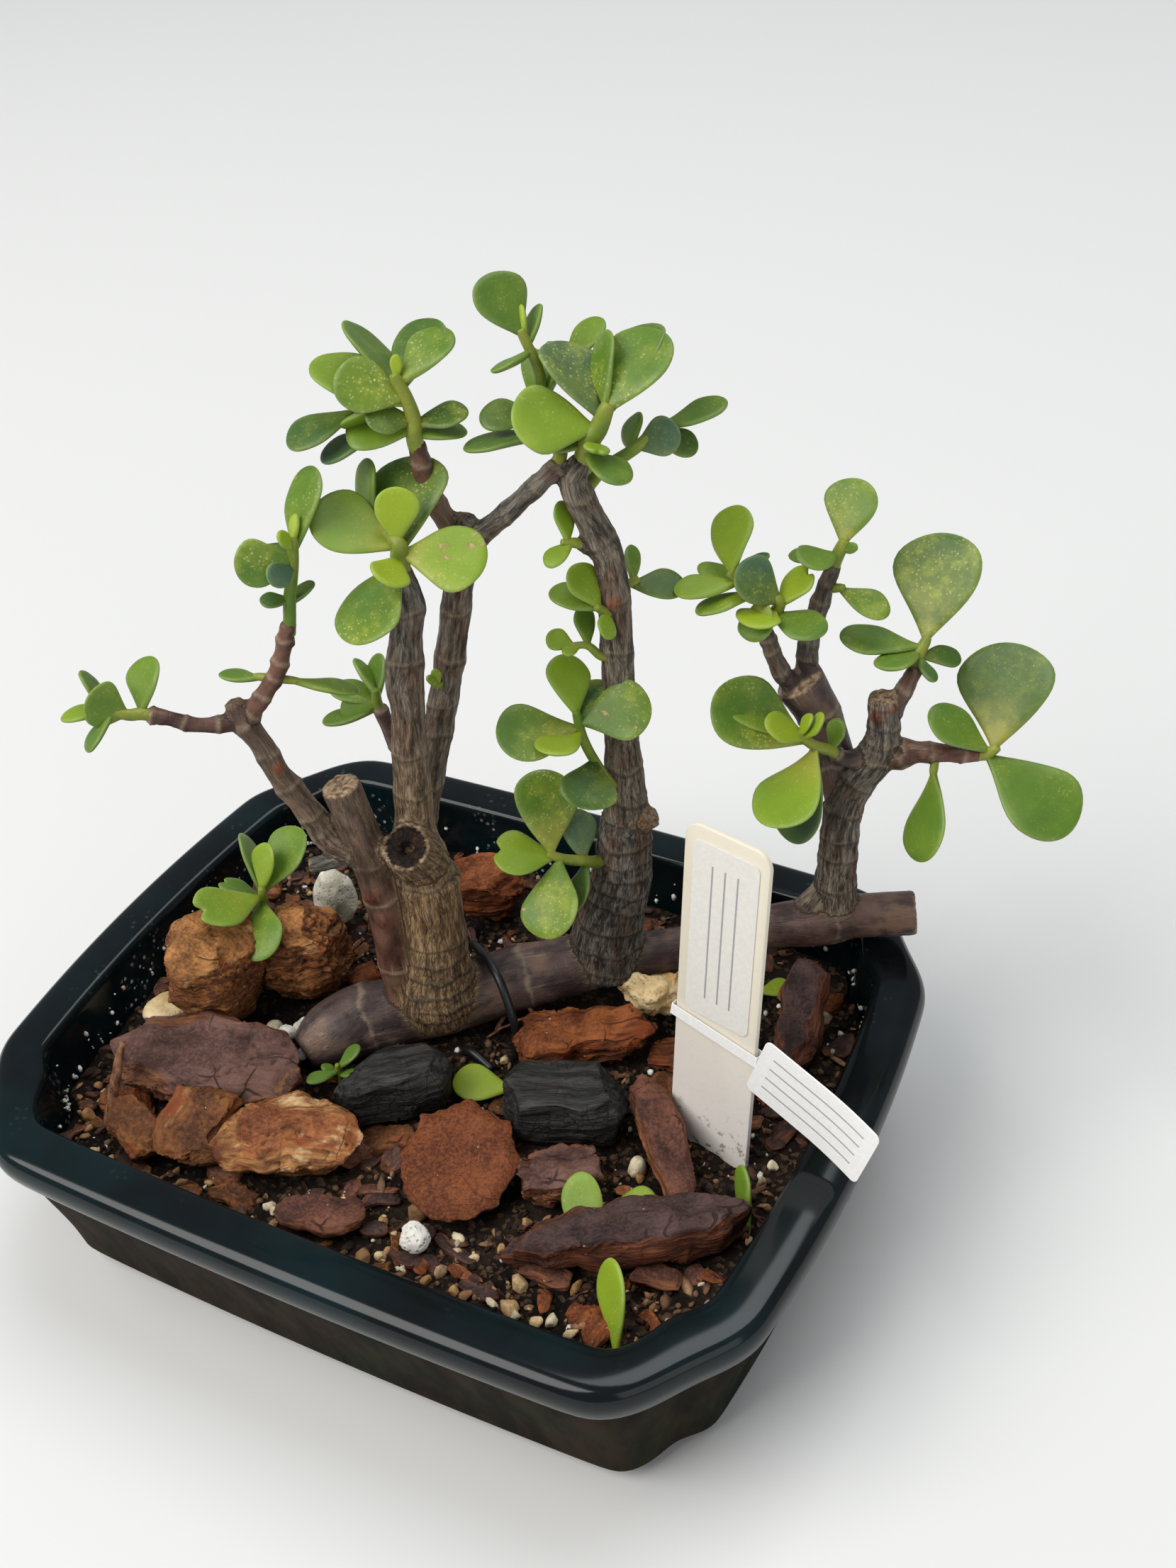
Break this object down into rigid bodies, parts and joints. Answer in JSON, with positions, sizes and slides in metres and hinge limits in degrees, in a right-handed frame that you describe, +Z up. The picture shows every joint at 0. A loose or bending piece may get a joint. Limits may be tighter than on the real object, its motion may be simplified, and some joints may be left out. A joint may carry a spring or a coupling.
{
  "type": "dwarf jade bonsai",
  "caption": "Potted dwarf jade bonsai: a cork-barked raft with small upright trunks and fleshy leaf pairs in a glazed oblong pot with gritty soil and a blank plant label.",
  "frame": {"origin": "centre of the pot's flat underside, on the surface it stands on", "axes": "+X along the pot's long side towards the raft's far end, +Y towards the back, +Z up"},
  "size_m": [0.1826, 0.1382, 0.1749],
  "materials": {
    "pot_glaze": "gloss",
    "soil": "matte",
    "bark": "matte",
    "leaf": "satin",
    "wire": "satin",
    "label_plastic": "satin",
    "paper": "matte",
    "bark_chip_brown": "matte",
    "bark_chip_dark": "matte",
    "charcoal": "satin",
    "pumice": "matte",
    "stone": "matte",
    "perlite": "matte"
  },
  "bodies": {
    "root": {"pot": "pot_glaze", "tree_wood": "bark", "anchor_wire": "wire", "plant_label": "label_plastic", "label_sticker": "paper", "hang_tag": "paper", "bark_chip_back": "bark_chip_brown", "bark_chip_behind": "bark_chip_brown", "bark_chip_corner": "bark_chip_brown", "bark_chip_front": "bark_chip_brown", "bark_chip_left": "bark_chip_brown", "bark_chip_middle": "bark_chip_brown", "bark_disc": "bark_chip_brown", "bark_nugget_left": "bark_chip_brown", "bark_nugget_middle": "bark_chip_brown", "bark_slab_purple": "bark_chip_dark", "bark_stick_diagonal": "bark_chip_brown", "bark_strip_long": "bark_chip_dark", "bark_strip_upright": "bark_chip_dark", "bark_tan": "bark_chip_brown", "bud_trunk2": "leaf", "charcoal_left": "charcoal", "charcoal_right": "charcoal", "leaf_trunk4_hanging": "leaf", "leaf_trunk5_side": "leaf", "leaves_behind": "leaf", "leaves_crown": "leaf", "leaves_crown_right": "leaf", "leaves_far_left": "leaf", "leaves_front": "leaf", "leaves_high": "leaf", "leaves_left_middle": "leaf", "leaves_top_left": "leaf", "leaves_trunk3_base": "leaf", "leaves_trunk3_lime": "leaf", "leaves_trunk3_right": "leaf", "leaves_trunk3_rosette": "leaf", "leaves_trunk3_small": "leaf", "leaves_trunk3_twig": "leaf", "leaves_trunk4_left": "leaf", "leaves_trunk4_right": "leaf", "leaves_trunk4_top": "leaf", "leaves_trunk5_left": "leaf", "leaves_trunk5_right": "leaf", "loose_leaf_1": "leaf", "loose_leaf_2": "leaf", "loose_leaf_3": "leaf", "loose_leaf_4": "leaf", "loose_leaf_5": "leaf", "loose_leaf_6": "leaf", "perlite_cluster": "perlite", "perlite_lump": "perlite", "pumice": "pumice", "seedling_curly": "leaf", "seedling_left": "leaf", "soil": "soil", "stone_beige": "stone", "stone_white": "stone", "twig_leaf_left": "leaf", "twig_leaf_right": "leaf"}
  },
  "joints": []
}
